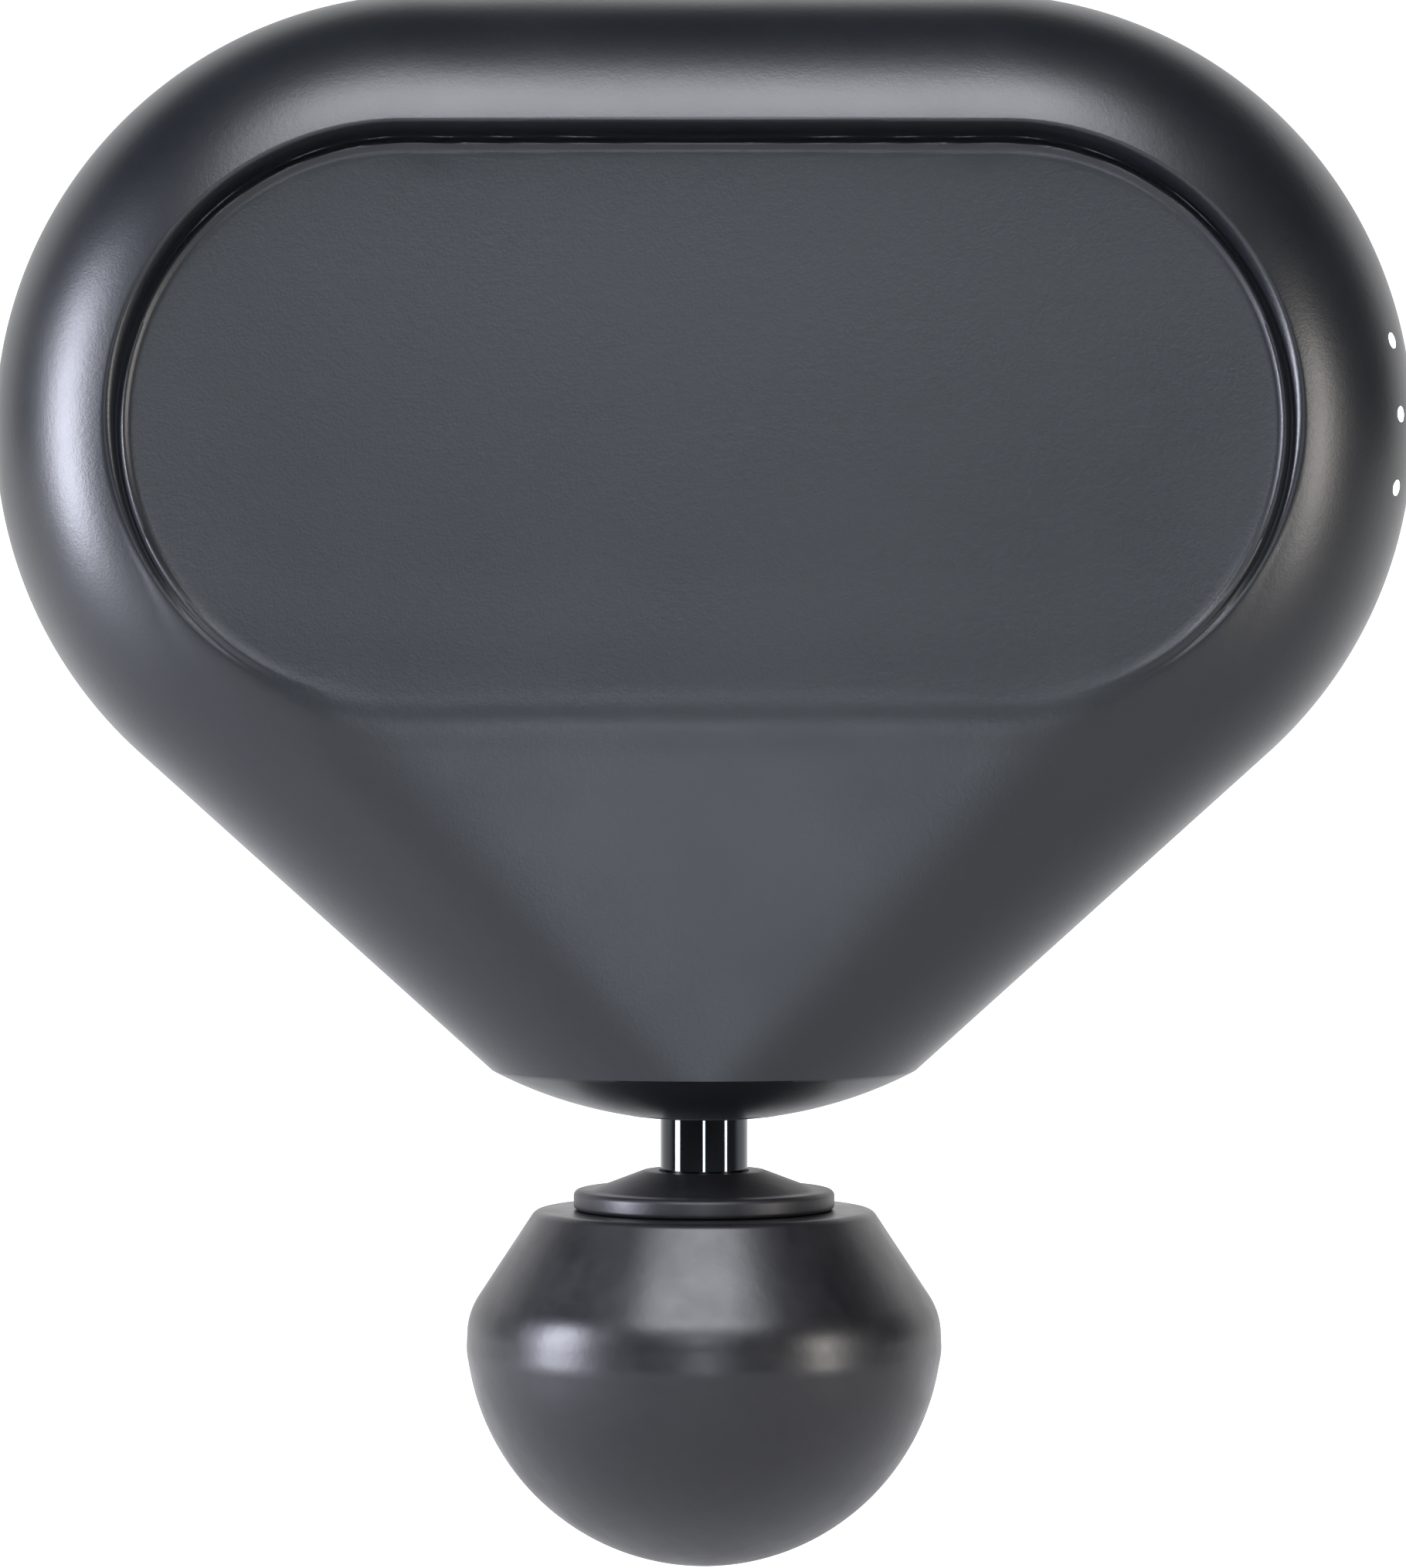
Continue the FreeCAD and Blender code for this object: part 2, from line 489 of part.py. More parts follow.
# ------------------------------------------------------------------------------ left edge socket
keep("port_board", box("port_board_blank", (1.4, 16, 20), (-59.6, 0, "port_z")))
can = pill("port_can", ("port_width - 0.1", "port_height - 0.1", "port_depth"), (-64, 0, "port_z"), "X")
mouth = pill("port_mouth", ("port_width - 0.7", "port_height - 0.7", "port_depth"), (-64.6, 0, "port_z"), "X")
tongue = box("port_tongue", (5.8, 0.7, 6.4), (-63.5, 0, "port_z"))
keep("charge_socket", fuse("charge_socket_part", cut("port_shell", can, mouth), tongue))

# ------------------------------------------------------------------------------ head
keep("head_core", turned("head_core_body", [
    (0, "core_low_z"), ("core_radius", "core_low_z"), ("core_radius", "head_top_z"),
    ("flange_radius", "head_top_z"), ("flange_radius", "head_top_z + flange_thick"),
    ("collar_low_radius", "head_top_z + flange_thick"),
    ("collar_high_radius", "collar_top_z"), ("shaft_radius + head_clear", "collar_top_z"),
    ("shaft_radius + head_clear", "shaft_tip_z - 0.2"), (0, "shaft_tip_z - 0.2")]))
ball = bind(doc.addObject("Part::Sphere", "ball"), Radius="ball_radius")
place(ball, (0, 0, "ball_radius"))
taper = bind(doc.addObject("Part::Cone", "ball_taper"), Height="head_top_z",
             Radius1="head_top_radius + head_slope * head_top_z", Radius2="head_top_radius")
foam = common("foam_blank", ball, taper)
doc.recompute()
soft = doc.addObject("Part::Fillet", "soft_foam")
soft.Base = foam
hoops = [(i, edge.BoundBox) for i, edge in enumerate(foam.Shape.Edges, start=1) if edge.Closed]
shoulder = max(hoops, key=lambda hoop: hoop[1].XLength)[0]
top_edge = max(hoops, key=lambda hoop: hoop[1].ZMin)[0]
soft.Edges = [(shoulder, 5.0, 5.0), (top_edge, 0.9, 0.9)]
keep("head_foam", cut("head_foam_part", soft,
                      cylinder("foam_pocket", "core_radius", 30, (0, 0, "core_low_z"))))

# ------------------------------------------------------------------------------ checks and files
doc.removeObject("Probe")
doc.recompute()
for obj in doc.Objects:
    if {"Invalid", "Error"} & set(obj.State):
        raise RuntimeError(f"{obj.Name} is in state {obj.State}")
for node, obj in PARTS.items():
    if obj.Shape.isNull() or not obj.Shape.isValid():
        raise RuntimeError(f"{node} has no valid shape")
os.makedirs("parts", exist_ok=True)
for node, obj in PARTS.items():
    obj.Shape.exportStep(f"parts/{node}.step")
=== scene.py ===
import bmesh
import bpy
import json
import math
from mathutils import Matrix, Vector


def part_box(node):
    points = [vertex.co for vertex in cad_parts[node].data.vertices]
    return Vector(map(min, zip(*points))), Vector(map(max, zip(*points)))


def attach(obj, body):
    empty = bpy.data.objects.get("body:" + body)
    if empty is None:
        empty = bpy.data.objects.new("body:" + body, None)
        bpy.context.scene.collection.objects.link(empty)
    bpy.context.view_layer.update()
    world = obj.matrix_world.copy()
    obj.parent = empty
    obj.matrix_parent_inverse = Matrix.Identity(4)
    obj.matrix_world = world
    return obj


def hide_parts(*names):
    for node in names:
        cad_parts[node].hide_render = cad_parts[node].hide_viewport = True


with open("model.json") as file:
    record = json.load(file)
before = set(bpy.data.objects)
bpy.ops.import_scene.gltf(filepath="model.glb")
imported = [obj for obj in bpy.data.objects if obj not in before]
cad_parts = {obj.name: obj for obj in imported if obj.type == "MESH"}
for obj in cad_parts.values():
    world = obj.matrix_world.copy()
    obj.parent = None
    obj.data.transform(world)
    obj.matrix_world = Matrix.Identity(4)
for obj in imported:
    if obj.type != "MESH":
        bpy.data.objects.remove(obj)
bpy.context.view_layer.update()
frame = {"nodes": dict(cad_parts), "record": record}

# All lengths in the shape code are millimetres and are turned into metres when a mesh is made.
MM = 0.001
BODY_FOR = {node: body for body, nodes in frame["record"]["behaviour"]["bodies"].items() for node in nodes}
SLOT_FOR = {sub["node"]: sub["material_slot"] for sub in frame["record"]["subparts"]}


def box_mm(node):
    """The low and high corner of a CAD node's box, in millimetres."""
    low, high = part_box(node)
    return Vector(low) / MM, Vector(high) / MM


# ------------------------------------------------------------------------------ materials
def socket(node, name, value):
    """Sets one input of a shader node."""
    node.inputs[name].default_value = value


class Finish:
    """A node material built round one Principled shader, with noise-driven colour, roughness and bump."""

    def __init__(self, name, color, rough, metallic=0.0):
        self.material = bpy.data.materials.new(name)
        self.material.use_nodes = True
        self.tree = self.material.node_tree
        self.shader = self.tree.nodes["Principled BSDF"]
        socket(self.shader, "Base Color", (*color, 1))
        socket(self.shader, "Roughness", rough)
        socket(self.shader, "Metallic", metallic)
        self.color = color
        self.coords = self.tree.nodes.new("ShaderNodeTexCoord")
        self.bumped = None

    def noise(self, scale, detail=3.0, stretch=(1, 1, 1), rough=0.55):
        """A noise factor over the object's own coordinates."""
        mapping = self.tree.nodes.new("ShaderNodeMapping")
        socket(mapping, "Scale", stretch)
        self.tree.links.new(self.coords.outputs["Object"], mapping.inputs["Vector"])
        noise = self.tree.nodes.new("ShaderNodeTexNoise")
        socket(noise, "Scale", scale)
        socket(noise, "Detail", detail)
        socket(noise, "Roughness", rough)
        self.tree.links.new(mapping.outputs["Vector"], noise.inputs["Vector"])
        return noise.outputs["Fac"]

    def ramp(self, source, low, high, start=0.35, end=0.65):
        """Maps the source's middle range onto low..high, as numbers or as colours."""
        if isinstance(low, (int, float)):
            node = self.tree.nodes.new("ShaderNodeMapRange")
            for name, value in (("From Min", start), ("From Max", end), ("To Min", low), ("To Max", high)):
                socket(node, name, value)
            self.tree.links.new(source, node.inputs["Value"])
            return node.outputs["Result"]
        node = self.tree.nodes.new("ShaderNodeValToRGB")
        node.color_ramp.elements[0].position = start
        node.color_ramp.elements[1].position = end
        node.color_ramp.elements[0].color = (*low, 1)
        node.color_ramp.elements[1].color = (*high, 1)
        self.tree.links.new(source, node.inputs["Fac"])
        return node.outputs["Color"]

    def vary_color(self, source, amount):
        """Lets the base colour drift by the given fraction either way."""
        low = tuple(c * (1 - amount) for c in self.color)
        high = tuple(min(1.0, c * (1 + amount)) for c in self.color)
        self.tree.links.new(self.ramp(source, low, high), self.shader.inputs["Base Color"])
        return self

    def vary_rough(self, source, low, high):
        """Lets the roughness drift between two values."""
        self.tree.links.new(self.ramp(source, low, high), self.shader.inputs["Roughness"])
        return self

    def bump(self, source, height, strength=1.0):
        """Adds a bump of the given height in metres on top of any earlier one."""
        node = self.tree.nodes.new("ShaderNodeBump")
        socket(node, "Distance", height)
        socket(node, "Strength", strength)
        self.tree.links.new(source, node.inputs["Height"])
        if self.bumped is not None:
            self.tree.links.new(self.bumped, node.inputs["Normal"])
        self.bumped = node.outputs["Normal"]
        self.tree.links.new(self.bumped, self.shader.inputs["Normal"])
        return self


def soft_touch():
    """Rubberised paint over plastic: very fine grain and broad soft highlights."""
    f = Finish("soft_touch_paint", (0.0045, 0.0058, 0.0076), 0.37)
    socket(f.shader, "Specular IOR Level", 0.62)
    grain = f.noise(4200, 2.0)
    f.vary_color(f.noise(900, 4.0), 0.10)
    f.vary_rough(f.noise(55, 5.0), 0.33, 0.375)
    return f.bump(f.noise(1500, 3.0), 0.000035, 0.35).bump(grain, 0.00002, 0.5).material


def foam():
    """Closed-cell foam skin: fine pores, softer and a little lighter than the body."""
    f = Finish("closed_cell_foam", (0.007, 0.007, 0.0085), 0.34)
    socket(f.shader, "Specular IOR Level", 0.6)
    f.vary_color(f.noise(700, 4.0), 0.16)
    f.vary_rough(f.noise(260, 3.0), 0.33, 0.39)
    return f.bump(f.noise(1300, 4.0), 0.00003, 0.4).material


def plastic(name, color, rough, variation=0.08, height=0.00003, scale=1200):
    """A moulded or rubbery solid with a fine grain."""
    f = Finish(name, color, rough)
    socket(f.shader, "Specular IOR Level", 0.5)
    f.vary_color(f.noise(scale * 0.4, 4.0), variation)
    f.vary_rough(f.noise(scale * 0.1, 4.0), rough * 0.9, min(1.0, rough * 1.12))
    return f.bump(f.noise(scale, 3.0), height, 0.4).material


def metal(name, color, rough, stretch=(1, 1, 1), height=0.000008, scale=900, variation=0.06):
    """A bare or plated metal, its marks drawn out by stretch."""
    f = Finish(name, color, rough, metallic=1.0)
    streaks = f.noise(scale, 3.0, stretch)
    f.vary_color(f.noise(scale * 0.2, 3.0, stretch), variation)
    f.vary_rough(streaks, rough * 0.75, rough * 1.3)
    return f.bump(streaks, height, 0.5).material


def glow(name, color, strength):
    """A lit clear part."""
    f = Finish(name, (0.9, 0.95, 0.96), 0.25)
    socket(f.shader, "Emission Strength", strength)
    centre = f.noise(600, 2.0)
    lit = f.ramp(centre, tuple(c * 0.85 for c in color), color)
    f.tree.links.new(lit, f.shader.inputs["Emission Color"])
    return f.material


def solder_mask():
    """Green board lacquer over faint tracks."""
    f = Finish("solder_mask", (0.012, 0.10, 0.045), 0.32)
    f.vary_color(f.noise(180, 6.0), 0.35)
    return f.bump(f.noise(420, 2.0, rough=0.3), 0.00004, 0.5).material


def windings():
    """Enamelled copper with the fine ribs of single wires."""
    f = Finish("enamelled_copper", (0.62, 0.20, 0.07), 0.3, metallic=1.0)
    wave = f.tree.nodes.new("ShaderNodeTexWave")
    socket(wave, "Scale", 900)
    socket(wave, "Distortion", 1.5)
    f.tree.links.new(f.coords.outputs["Object"], wave.inputs["Vector"])
    f.vary_color(f.noise(300, 3.0), 0.2)
    return f.bump(wave.outputs["Fac"], 0.0001, 0.6).material


MATERIALS = {
    "soft_skin": soft_touch(),
    "foam": foam(),
    "insert": plastic("satin_black_insert", (0.012, 0.012, 0.014), 0.42, height=0.00004, scale=1500),
    "button": plastic("button_plastic", (0.035, 0.037, 0.042), 0.45),
    "shell": plastic("moulded_shell", (0.02, 0.02, 0.022), 0.6),
    "nylon": plastic("moulded_nylon", (0.62, 0.60, 0.54), 0.5),
    "seal": plastic("seal_rubber", (0.010, 0.010, 0.011), 0.7, height=0.00005),
    "chip": plastic("moulded_package", (0.015, 0.015, 0.016), 0.55),
    "cell_wrap": plastic("cell_shrink_wrap", (0.02, 0.12, 0.32), 0.3, scale=500),
    "lead": plastic("wire_insulation", (0.42, 0.02, 0.02), 0.4, scale=800),
    "lamp": plastic("lamp_housing", (0.8, 0.8, 0.7), 0.35),
    "lens": glow("lit_lens", (0.88, 1.0, 0.98), 3.0),
    "board": solder_mask(),
    "copper": windings(),
    "screw": metal("zinc_plate", (0.55, 0.56, 0.58), 0.32),
    "alloy": metal("cast_alloy", (0.6, 0.61, 0.63), 0.42, height=0.00003, scale=500),
    "bronze": metal("sintered_bronze", (0.45, 0.27, 0.12), 0.45,
                    height=0.00004, scale=1500, variation=0.2),
    "bearing": metal("ground_steel", (0.6, 0.6, 0.62), 0.2, (1, 1, 20)),
    "core_steel": metal("rolled_steel", (0.28, 0.28, 0.3), 0.35, (1, 12, 1)),
    "magnet": metal("nickelled_magnet", (0.5, 0.5, 0.52), 0.25),
    "nickel": metal("nickel_plate", (0.58, 0.57, 0.54), 0.28),
    "dark_steel": metal("polished_dark_steel", (0.05, 0.053, 0.058), 0.05,
                        (1, 1, 0.02), 0.000002, 2500, 0.03),
}
for node, obj in frame["nodes"].items():
    obj.data.materials.clear()
    obj.data.materials.append(MATERIALS[SLOT_FOR[node]])


# ------------------------------------------------------------------------------ mesh helpers
# Edges sharper than this many degrees are shaded hard.
SHARP = 38


def piece(name, verts, faces, slot, body, sharp=SHARP):
    """A mesh object from millimetre points, smooth but for edges sharper than the given angle."""
    mesh = bpy.data.meshes.new(name)
    mesh.from_pydata([Vector(v) * MM for v in verts], [], faces)
    bm = bmesh.new()
    bm.from_mesh(mesh)
    bmesh.ops.remove_doubles(bm, verts=bm.verts, dist=2e-7)
    bmesh.ops.recalc_face_normals(bm, faces=bm.faces)
    bm.to_mesh(mesh)
    bm.free()
    mesh.polygons.foreach_set("use_smooth", [True] * len(mesh.polygons))
    mesh.set_sharp_from_angle(angle=math.radians(sharp))
    obj = bpy.data.objects.new(name, mesh)
    bpy.context.scene.collection.objects.link(obj)
    mesh.materials.append(MATERIALS[slot])
    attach(obj, body)
    return obj


def grid(rows, close_rows=False, close_columns=False):
    """Vertices and quads of a grid of points, given as rows of equal length."""
    count = len(rows[0])
    verts = [p for row in rows for p in row]
    faces = []
    for i in range(len(rows) if close_rows else len(rows) - 1):
        for j in range(count if close_columns else count - 1):
            after, down = (j + 1) % count, (i + 1) % len(rows)
            faces.append((i * count + j, i * count + after, down * count + after, down * count + j))
    return verts, faces


def turned(profile, steps=160):
    """A surface of revolution about Z from (radius, height) pairs."""
    rows = [[(r * math.cos(math.tau * k / steps), r * math.sin(math.tau * k / steps), z)
             for k in range(steps)] for r, z in profile]
    return grid(rows, close_columns=True)


def smooth_step(value, low, high):
    """0 below low, 1 above high, with a soft ramp between."""
    t = min(1.0, max(0.0, (value - low) / (high - low)))
    return t * t * (3 - 2 * t)


def bell(value, centre, width):
    """1 at the centre, falling off softly over the width."""
    return math.exp(-((value - centre) / width) ** 2)


def rounded_corners(points, radii, steps=8):
    """A polyline with each inner corner replaced by an arc of its own radius."""
    out = [points[0]]
    for before, corner, after, radius in zip(points, points[1:], points[2:], radii):
        p, a, b = Vector(corner), Vector(before), Vector(after)
        u, v = (a - p).normalized(), (b - p).normalized()
        angle = u.angle(v)
        reach = min(radius / math.tan(angle / 2), (a - p).length * 0.49, (b - p).length * 0.49)
        centre = p + (u + v).normalized() * (reach / math.cos(angle / 2))
        start, end = p + u * reach, p + v * reach
        for k in range(steps + 1):
            t = k / steps
            arm = (start - centre) * (1 - t) + (end - centre) * t
            out.append(tuple(centre + arm.normalized() * (start - centre).length))
    return out + [points[-1]]


# ------------------------------------------------------------------------------ body surface
ARC, ARC_X, ARC_Z = 41.9, 26.4, 110.1
SLANT = math.radians(42.06)
TOP = ARC_Z + ARC
ROUND, FLAT, HALF = 19.0, 3.0, 22.0
WELL, WELL_X = 28.15, 28.15
FACE_LOW_Z, NECK_Z, NECK_TAPER = 84.1, 47.9, 2.2
FLOOR_HALF, FLOOR_Z, FLOOR_SLOPE = 21.75, 82.0, 0.0655
DOME, DOME_Z, DOME_EDGE, SHAFT_HOLE = 41.9, 84.8, 20.2, 5.0
CREASE_Z = 48.3
SLANT_REACH = ARC_X * math.sin(SLANT) - ARC_Z * math.cos(SLANT) + ARC


def edge_depth(x, z):
    """How far a point of the front view lies inside the body's outline."""
    x = abs(x)
    depth = min(TOP - z, SLANT_REACH - (x * math.sin(SLANT) - z * math.cos(SLANT)))
    angle = math.atan2(z - ARC_Z, x - ARC_X)
    if SLANT - math.pi / 2 <= angle <= math.pi / 2:
        depth = min(depth, ARC - math.hypot(x - ARC_X, z - ARC_Z))
    return depth


def well_depth(x, z):
    """How far a point lies inside the edge of the grip recess."""
    return WELL - math.hypot(max(0.0, abs(x) - WELL_X), z - ARC_Z)


def plain_half(x, z):
    """Half thickness without the recess: the rounded edge runs softly into the flat or tapered face."""
    depth = min(max(edge_depth(x, z), 0.0), ROUND)
    rounded = FLAT + math.sqrt(ROUND ** 2 - (ROUND - depth) ** 2)
    face = HALF - NECK_TAPER * max(0.0, FACE_LOW_Z - z) / (FACE_LOW_Z - NECK_Z)
    blend = 1.6 * smooth_step(z, 86, 76)
    overlap = max(0.0, blend - abs(rounded - face))
    return min(rounded, face) - (overlap ** 2 / (4 * blend) if overlap else 0.0)


def floor_half(z):
    """Half thickness at the floor of the recess, which leans back towards the top."""
    return FLOOR_HALF - (z - FLOOR_Z) * FLOOR_SLOPE


def skin_half(x, z):
    """Half thickness of the finished surface: rim, step wall, groove, lip, dished floor and web."""
    plain = plain_half(x, z)
    inside = well_depth(x, z)
    firm = smooth_step(z, 84, 97)
    soft = 2.6 * (1 - firm)
    if inside <= -0.3 - soft:
        return plain
    dish = (0.5 * math.exp(-max(inside, 0) / 7) - 0.22) * (0.3 + 0.7 * firm)
    floor = floor_half(z) + dish
    drop = smooth_step(inside, -0.25 - soft, 1.2 + soft)
    groove = -0.42 * firm * bell(inside, 1.15, 0.34)
    lip = 0.36 * firm * bell(inside, 1.85, 0.36)
    return plain + (floor - plain) * drop + groove + lip


def ray_to(inside, angle, reach):
    """The furthest distance from the body's middle, along an angle, at which inside() still holds."""
    low, high = 0.0, reach
    for _ in range(40):
        middle = (low + high) / 2
        if inside(middle * math.cos(angle), ARC_Z + middle * math.sin(angle)):
            low = middle
        else:
            high = middle
    return low


CREASE_X = (SLANT_REACH + CREASE_Z * math.cos(SLANT)) / math.sin(SLANT)
STEPS = 1000
CORNER = math.atan2(CREASE_Z - ARC_Z, CREASE_X)


def angles():
    """Directions round the body's middle, with one exactly at each end of the neck crease."""
    crease = int(STEPS * 0.14)
    rest = STEPS - crease
    start, end = CORNER, math.pi - CORNER
    out = [start + (end - start) * k / rest for k in range(rest)]
    return out + [end + (math.tau + CORNER - end) * k / crease for k in range(crease)], rest


# Distances inside the recess's edge at which the step, groove and lip are drawn, and the rings inside
# and outside them.
STEP_BANDS = [4.2, 3.4, 2.9, 2.55, 2.3, 2.1, 1.95, 1.8, 1.65, 1.5, 1.35, 1.2, 1.05, 0.9, 0.75, 0.6, 0.45,
              0.3, 0.15, 0.0, -0.15, -0.3, -0.5, -0.8]
INNER_RINGS, OUTER_RINGS = 26, 56


def body_rows():
    """Points of one half of the body, from the middle of the recess out to the parting line."""
    directions, sides = angles()
    well = [ray_to(lambda x, z: well_depth(x, z) > 0, a, 90) for a in directions]
    edge = [ray_to(lambda x, z: edge_depth(x, z) > 0 and z > CREASE_Z, a, 110) for a in directions]
    rows = [[k / INNER_RINGS * (w - 4.8) for w in well] for k in range(1, INNER_RINGS - 1)]
    rows += [[w - band for w in well] for band in STEP_BANDS]
    for k in range(1, OUTER_RINGS + 1):
        v = math.sin(math.pi / 2 * k / OUTER_RINGS)
        rows.append([w + 0.8 + (e - w - 0.8) * v for w, e in zip(well, edge)])
    points = []
    for row in rows:
        places = [(r * math.cos(a), ARC_Z + r * math.sin(a)) for r, a in zip(row, directions)]
        points.append([(x, skin_half(x, z), z) for x, z in places])
    return points, sides


def dome_point(x, half, t):
    """A point of the shallow dome below the crease: t runs from the crease (0) to the shaft's hole (1)."""
    full = math.hypot(x, half)
    radius = full + (SHAFT_HOLE - full) * t
    scale = radius / full
    fall = DOME_Z - math.sqrt(DOME ** 2 - DOME_EDGE ** 2)
    z = DOME_Z - math.sqrt(DOME ** 2 - (radius * DOME_EDGE / full) ** 2) + (CREASE_Z - fall)
    return x * scale, half * scale, z + 0.12 * t


# The flat strip round the edge: half thickness and how far in, ending at the parting line's chamfer.
EDGE_STRIP = ((2.55, 0), (2.1, 0), (1.65, 0), (1.2, 0), (0.8, 0), (0.45, 0), (0.2, 0.0), (0.06, 0.07),
              (0.03, 0.3))
DOME_RINGS = 24


def casing_half(name, node, sign):
    """The front (sign -1) or rear (sign 1) half of the casing's skin."""
    points, sides = body_rows()
    count = len(points[0])
    verts, faces = grid(points, close_columns=True)
    verts = [(0.0, skin_half(0, ARC_Z), ARC_Z)] + verts
    faces = [(0, 1 + k, 1 + (k + 1) % count) for k in range(count)] + [tuple(1 + i for i in q) for q in faces]

    def add(rows):
        more, quads = grid(rows)
        faces.extend(tuple(len(verts) + i for i in q) for q in quads)
        verts.extend(more)

    rim = points[-1][:sides + 1]
    strip = [rim]
    for half, inset in EDGE_STRIP:
        line = []
        for x, _, z in rim:
            away = Vector((x, z - ARC_Z)).normalized() * inset
            line.append((x - away.x, half, z - away.y))
        strip.append(line)
    add(strip)
    # The dome under the neck, from the crease to the hole for the shaft.
    crease = points[-1][sides:] + [points[-1][0]]
    right = [(line[-1][0], line[-1][1], CREASE_Z) for line in strip[::-1]]
    left = [(line[0][0], line[0][1], CREASE_Z) for line in strip]
    loop = right + crease[1:-1] + left
    dome = [[dome_point(x, half, t / DOME_RINGS) for x, half, _ in loop] for t in range(DOME_RINGS + 1)]
    dome.append([(x, half, z + 1.6) for x, half, z in dome[-1]])
    add(dome)
    obj = piece(name, [(x, sign * half, z) for x, half, z in verts], faces, "soft_skin", BODY_FOR[node])
    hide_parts(node)
    return obj


# Only faces further out than this belong to the rounded edge that an opening goes through.
EDGE_X = 55


def open_slot(obj, side, centre_z, length, width, depth):
    """Cuts a round-ended opening through the edge of a casing half and gives it a wall."""
    half_run = (length - width) / 2 * MM
    radius = width / 2 * MM
    bm = bmesh.new()
    bm.from_mesh(obj.data)

    def outline(co):
        """Distance outside the opening and the nearest point of its outline."""
        z = co.z - centre_z * MM
        core = max(-half_run, min(half_run, z))
        arm = Vector((co.y, z - core))
        span = arm.length
        if span < 1e-9:
            return -radius, None
        near = arm / span * radius
        return span - radius, (near.x, near.y + core + centre_z * MM)

    def on_side(co):
        return side * co.x > EDGE_X * MM

    doomed = []
    for face in bm.faces:
        middle = face.calc_center_median()
        if on_side(middle) and outline(middle)[0] < 0:
            doomed.append(face)
    bmesh.ops.delete(bm, geom=doomed, context="FACES")
    rim = [e for e in bm.edges if e.is_boundary and on_side(e.verts[0].co)
           and all(abs(outline(v.co)[0]) < 0.7 * MM for v in e.verts)
           and not all(abs(v.co.y) < 0.1 * MM for v in e.verts)]
    for v in {v for e in rim for v in e.verts}:
        if abs(v.co.y) > 0.1 * MM:
            v.co.y, v.co.z = outline(v.co)[1]
    made = bmesh.ops.extrude_edge_only(bm, edges=rim)["geom"]
    for v in (g for g in made if isinstance(g, bmesh.types.BMVert)):
        v.co.x -= side * depth * MM
    bmesh.ops.recalc_face_normals(bm, faces=bm.faces)
    bm.to_mesh(obj.data)
    bm.free()
    obj.data.polygons.foreach_set("use_smooth", [True] * len(obj.data.polygons))
    obj.data.set_sharp_from_angle(angle=math.radians(SHARP))


BUTTON_Z = 110.6
PORT_Z = 110.0
for name, node, sign in (("casing_skin_front", "front_skin", -1), ("casing_skin_rear", "rear_skin", 1)):
    half = casing_half(name, node, sign)
    open_slot(half, 1, BUTTON_Z, 15.1, 7.9, 2.6)
    open_slot(half, -1, PORT_Z, 9.0, 3.3, 2.6)


# ------------------------------------------------------------------------------ button and lights
def surface_x(y, z, proud=0.0):
    """How far out the edge of the body reaches at a height and depth, on the right side."""
    arc = ARC + proud
    depth = max(0.0, abs(y) - FLAT)
    roll = (ROUND + proud) - math.sqrt((ROUND + proud) ** 2 - depth ** 2)
    return ARC_X + math.sqrt((arc - roll) ** 2 - (z - ARC_Z) ** 2)


def pill_rows(width, length, steps=96):
    """The outline of a round-ended slot as (y, z) pairs about its middle."""
    out = []
    run = (length - width) / 2
    for k in range(steps):
        angle = math.tau * (k + 0.5) / steps
        middle = run if math.sin(angle) > 0 else -run
        out.append((width / 2 * math.cos(angle), width / 2 * math.sin(angle) + middle))
    return out


# The button's face and wall, as distance in from its outline and depth below its highest surface.
BUTTON_FACE = ((3.65, 0.24), (3.2, 0.23), (2.6, 0.18), (2.0, 0.1), (1.4, 0.03), (0.9, 0.0), (0.55, 0.02),
               (0.3, 0.08), (0.12, 0.2), (0.03, 0.36), (0.0, 0.55), (0.0, 3.6))
# The flange behind it, as x, width and length.
BUTTON_FLANGE = ((63.55, 7.3, 14.5), (63.55, 9.2, 16.4), (63.4, 9.38, 16.58), (62.6, 9.38, 16.58),
                 (62.45, 9.2, 16.4), (62.45, 0.6, 7.9))
BUTTON_WIDTH, BUTTON_LENGTH = 7.3, 14.5


def power_button():
    """A slightly dished oval button that follows the body's edge, with the flange that keeps it in."""
    rows = []
    for inset, sink in BUTTON_FACE:
        scale = (BUTTON_WIDTH / 2 - inset) / (BUTTON_WIDTH / 2)
        row = []
        for y, z in pill_rows(BUTTON_WIDTH, BUTTON_LENGTH):
            run = (BUTTON_LENGTH - BUTTON_WIDTH) / 2 * (1 if z > 0 else -1)
            y, z = y * scale, BUTTON_Z + run + (z - run) * scale
            row.append((surface_x(y, z, 0.38) - sink, y, z))
        rows.append(row)
    top = rows[0]
    verts, faces = grid(rows, close_columns=True)
    middle = len(verts)
    verts.append(tuple(sum(p[i] for p in top) / len(top) for i in range(3)))
    faces += [(middle, (k + 1) % len(top), k) for k in range(len(top))]
    flange = [[(x, y, BUTTON_Z + z) for y, z in pill_rows(w, l)] for x, w, l in BUTTON_FLANGE]
    more, quads = grid(flange, close_columns=True)
    faces += [tuple(len(verts) + i for i in q) for q in quads]
    verts += more
    obj = piece("side_button", verts, faces, "button", BODY_FOR["power_button"])
    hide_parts("power_button")


power_button()


# The lens dome, as radius and rise above the body's surface.
LENS_DOME = ((0.02, 0.1), (0.25, 0.095), (0.45, 0.08), (0.6, 0.055), (0.7, 0.02), (0.74, -0.06))
LENS_STEPS = 32


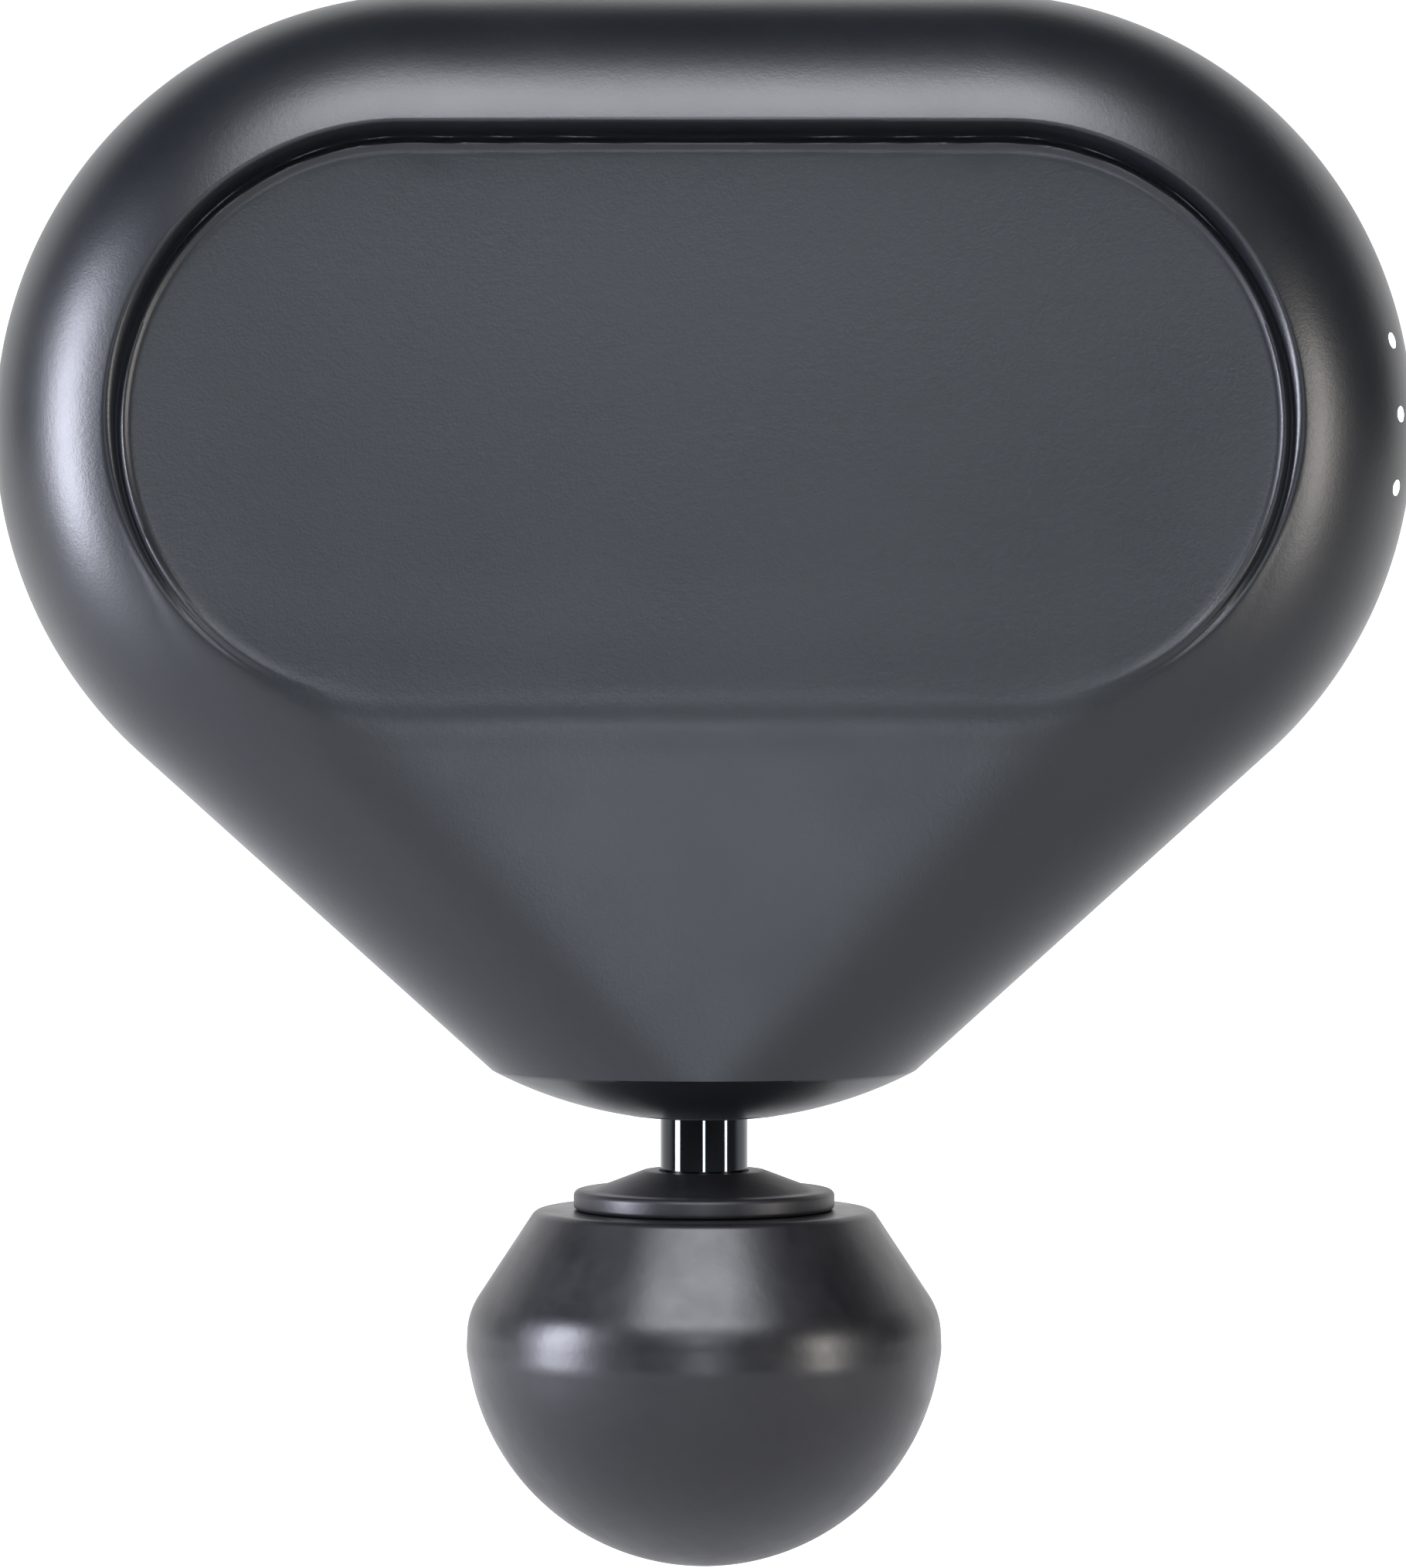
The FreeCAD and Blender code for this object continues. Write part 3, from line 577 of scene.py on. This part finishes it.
def light_lens(name, z):
    """A small clear dome over a light pipe, following the slope of the edge."""
    low, high = box_mm("led_lenses")
    y = (low.y + high.y) / 2
    centre = Vector((surface_x(y, z), y, z))
    step = 0.1
    along_y = Vector((surface_x(y + step, z) - surface_x(y - step, z), 2 * step, 0)).normalized()
    along_z = Vector((surface_x(y, z + step) - surface_x(y, z - step), 0, 2 * step)).normalized()
    out = along_y.cross(along_z).normalized()
    turns = [math.tau * k / LENS_STEPS for k in range(LENS_STEPS)]
    arms = [along_y * math.cos(turn) + along_z * math.sin(turn) for turn in turns]
    rows = [[tuple(centre + arm * radius + out * rise) for arm in arms] for radius, rise in LENS_DOME]
    verts, faces = grid(rows, close_columns=True)
    verts.append(tuple(centre + out * 0.1))
    faces += [(len(verts) - 1, (k + 1) % LENS_STEPS, k) for k in range(LENS_STEPS)]
    return piece(name, verts, faces, "lens", BODY_FOR["led_lenses"])


for index, z in enumerate((118.3, 111.3, 104.3)):
    light_lens(f"light_lens_{index + 1}", z)


# ------------------------------------------------------------------------------ head
def ball_head():
    """The foam ball: a flat top, a straight cone, a softly rounded shoulder and a near-spherical half."""
    radius = 23.14
    turns = [math.radians(a) for a in range(0, 81, 2)]
    lower = [(radius * math.sin(a), radius - radius * math.cos(a)) for a in turns]
    cone = [(radius * 0.9985, radius * 0.90), (22.95, 24.6), (16.4, 34.55), (9.05, 34.55)]
    upper = rounded_corners([lower[-1]] + cone, (6.0, 9.0, 1.1), 14)
    profile = lower + upper[1:] + [(9.05, 12.5), (9.0, 12.05), (0.0, 12.02)]
    verts, faces = turned(profile, 200)
    obj = piece("foam_ball", verts, faces, "foam", BODY_FOR["head_foam"], sharp=50)
    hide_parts("head_foam")


def head_insert():
    """The satin insert in the ball: a cone and a flange above, a plain socket for the shaft inside."""
    corners = [(4.4, 38.38), (5.9, 38.38), (6.25, 38.25), (10.7, 36.55), (11.1, 36.5), (12.68, 36.5),
               (12.68, 34.62), (9.02, 34.58), (9.0, 33.9)]
    profile = [(4.32, 20.0), (4.32, 38.0)]
    profile += rounded_corners(corners, (0.4, 0.5, 0.5, 0.25, 0.55, 0.45, 0.03), 6)
    profile += [(9.0, 12.1), (0.0, 12.06)]
    verts, faces = turned(profile, 180)
    obj = piece("push_on_insert", verts, faces, "insert", BODY_FOR["head_core"], sharp=42)
    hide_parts("head_core")


ball_head()
head_insert()


# ------------------------------------------------------------------------------ studio
def stage_material():
    """A plain pale studio floor that glows white behind the object."""
    f = Finish("studio_sweep", (0.60, 0.60, 0.61), 0.75)
    f.vary_color(f.noise(6, 2.0), 0.01)
    socket(f.shader, "Emission Strength", 1.0)
    split = f.tree.nodes.new("ShaderNodeSeparateXYZ")
    f.tree.links.new(f.coords.outputs["Object"], split.inputs["Vector"])
    behind = f.ramp(split.outputs["Y"], 0.0, 1.0, -0.05, 0.30)
    backlight = f.ramp(behind, (0, 0, 0), (0.95, 0.95, 0.95), 0.0, 1.0)
    f.tree.links.new(backlight, f.shader.inputs["Emission Color"])
    return f.vary_rough(f.noise(60, 3.0), 0.70, 0.78).material


# The stage's section, as y and z in metres; it lies low enough for the pulled-off head to stay in view.
STAGE = ((-3.0, 0), (-1.0, 0), (0.0, 0), (1.2, 0), (1.6, 0.03), (1.9, 0.13), (2.12, 0.35), (2.2, 0.7),
         (2.2, 2.6))
STAGE_DROP = 0.045


def sweep():
    """The studio floor and backdrop in one curved sheet."""
    rows = [[(x / MM, y / MM, (z - STAGE_DROP) / MM) for x in (-3.5, -1.5, 0, 1.5, 3.5)] for y, z in STAGE]
    verts, faces = grid(rows)
    mesh = bpy.data.meshes.new("sweep")
    mesh.from_pydata([Vector(v) * MM for v in verts], [], faces)
    mesh.polygons.foreach_set("use_smooth", [True] * len(mesh.polygons))
    obj = bpy.data.objects.new("sweep", mesh)
    bpy.context.scene.collection.objects.link(obj)
    mesh.materials.append(stage_material())


def area(name, at, target, size, power, color):
    """A rectangular light, unseen by the camera, aimed from one point at another."""
    light = bpy.data.lights.new(name, "AREA")
    light.shape = "RECTANGLE"
    light.size, light.size_y = size
    light.energy = power
    light.color = color
    obj = bpy.data.objects.new(name, light)
    obj.location = at
    obj.rotation_euler = (Vector(target) - Vector(at)).to_track_quat("-Z", "Y").to_euler()
    obj.visible_camera = False
    bpy.context.scene.collection.objects.link(obj)


sweep()
area("left_softbox", (-0.60, -0.17, 0.13), (0, 0, 0.09), (0.17, 0.42), 7.0, (0.84, 0.86, 1.0))
area("top_softbox", (-0.03, -0.42, 0.62), (0, 0, 0.1), (0.6, 0.35), 6.5, (0.92, 0.93, 1.0))
area("right_card", (0.55, -0.32, 0.10), (0, 0, 0.08), (0.07, 0.3), 1.6, (1.0, 0.95, 0.9))
area("front_fill", (-0.02, -1.0, 0.46), (0, 0, 0.1), (0.28, 0.2), 1.5, (0.82, 0.90, 1.0))
area("low_front_card", (0.0, -0.50, 0.02), (0, 0, 0.065), (0.05, 0.05), 0.22, (0.82, 0.90, 1.0))

world = bpy.data.worlds.new("studio")
world.use_nodes = True
world.node_tree.nodes["Background"].inputs["Color"].default_value = (0.93, 0.95, 1.0, 1)
world.node_tree.nodes["Background"].inputs["Strength"].default_value = 0.03
bpy.context.scene.world = world
bpy.context.scene.view_settings.view_transform = "Standard"

# The whole height of the picture covers VIEW_HEIGHT at the object; lengths in metres.
DISTANCE, VIEW_HEIGHT, SENSOR = 0.6, 0.1522, 36.0
AIM = Vector((-0.0001, 0, 0.0759))
camera = bpy.data.cameras.new("camera")
camera.sensor_fit = "VERTICAL"
camera.sensor_height = SENSOR
camera.lens = SENSOR * DISTANCE / VIEW_HEIGHT
camera.clip_start = 0.05
viewer = bpy.data.objects.new("camera", camera)
viewer.location = AIM + Vector((0, -DISTANCE, 0.011))
viewer.rotation_euler = (AIM - viewer.location).to_track_quat("-Z", "Y").to_euler()
bpy.context.scene.collection.objects.link(viewer)
bpy.context.scene.camera = viewer


def plain(bounds):
    """Bounds as plain lists of numbers."""
    return [list(map(float, corner)) for corner in bounds]
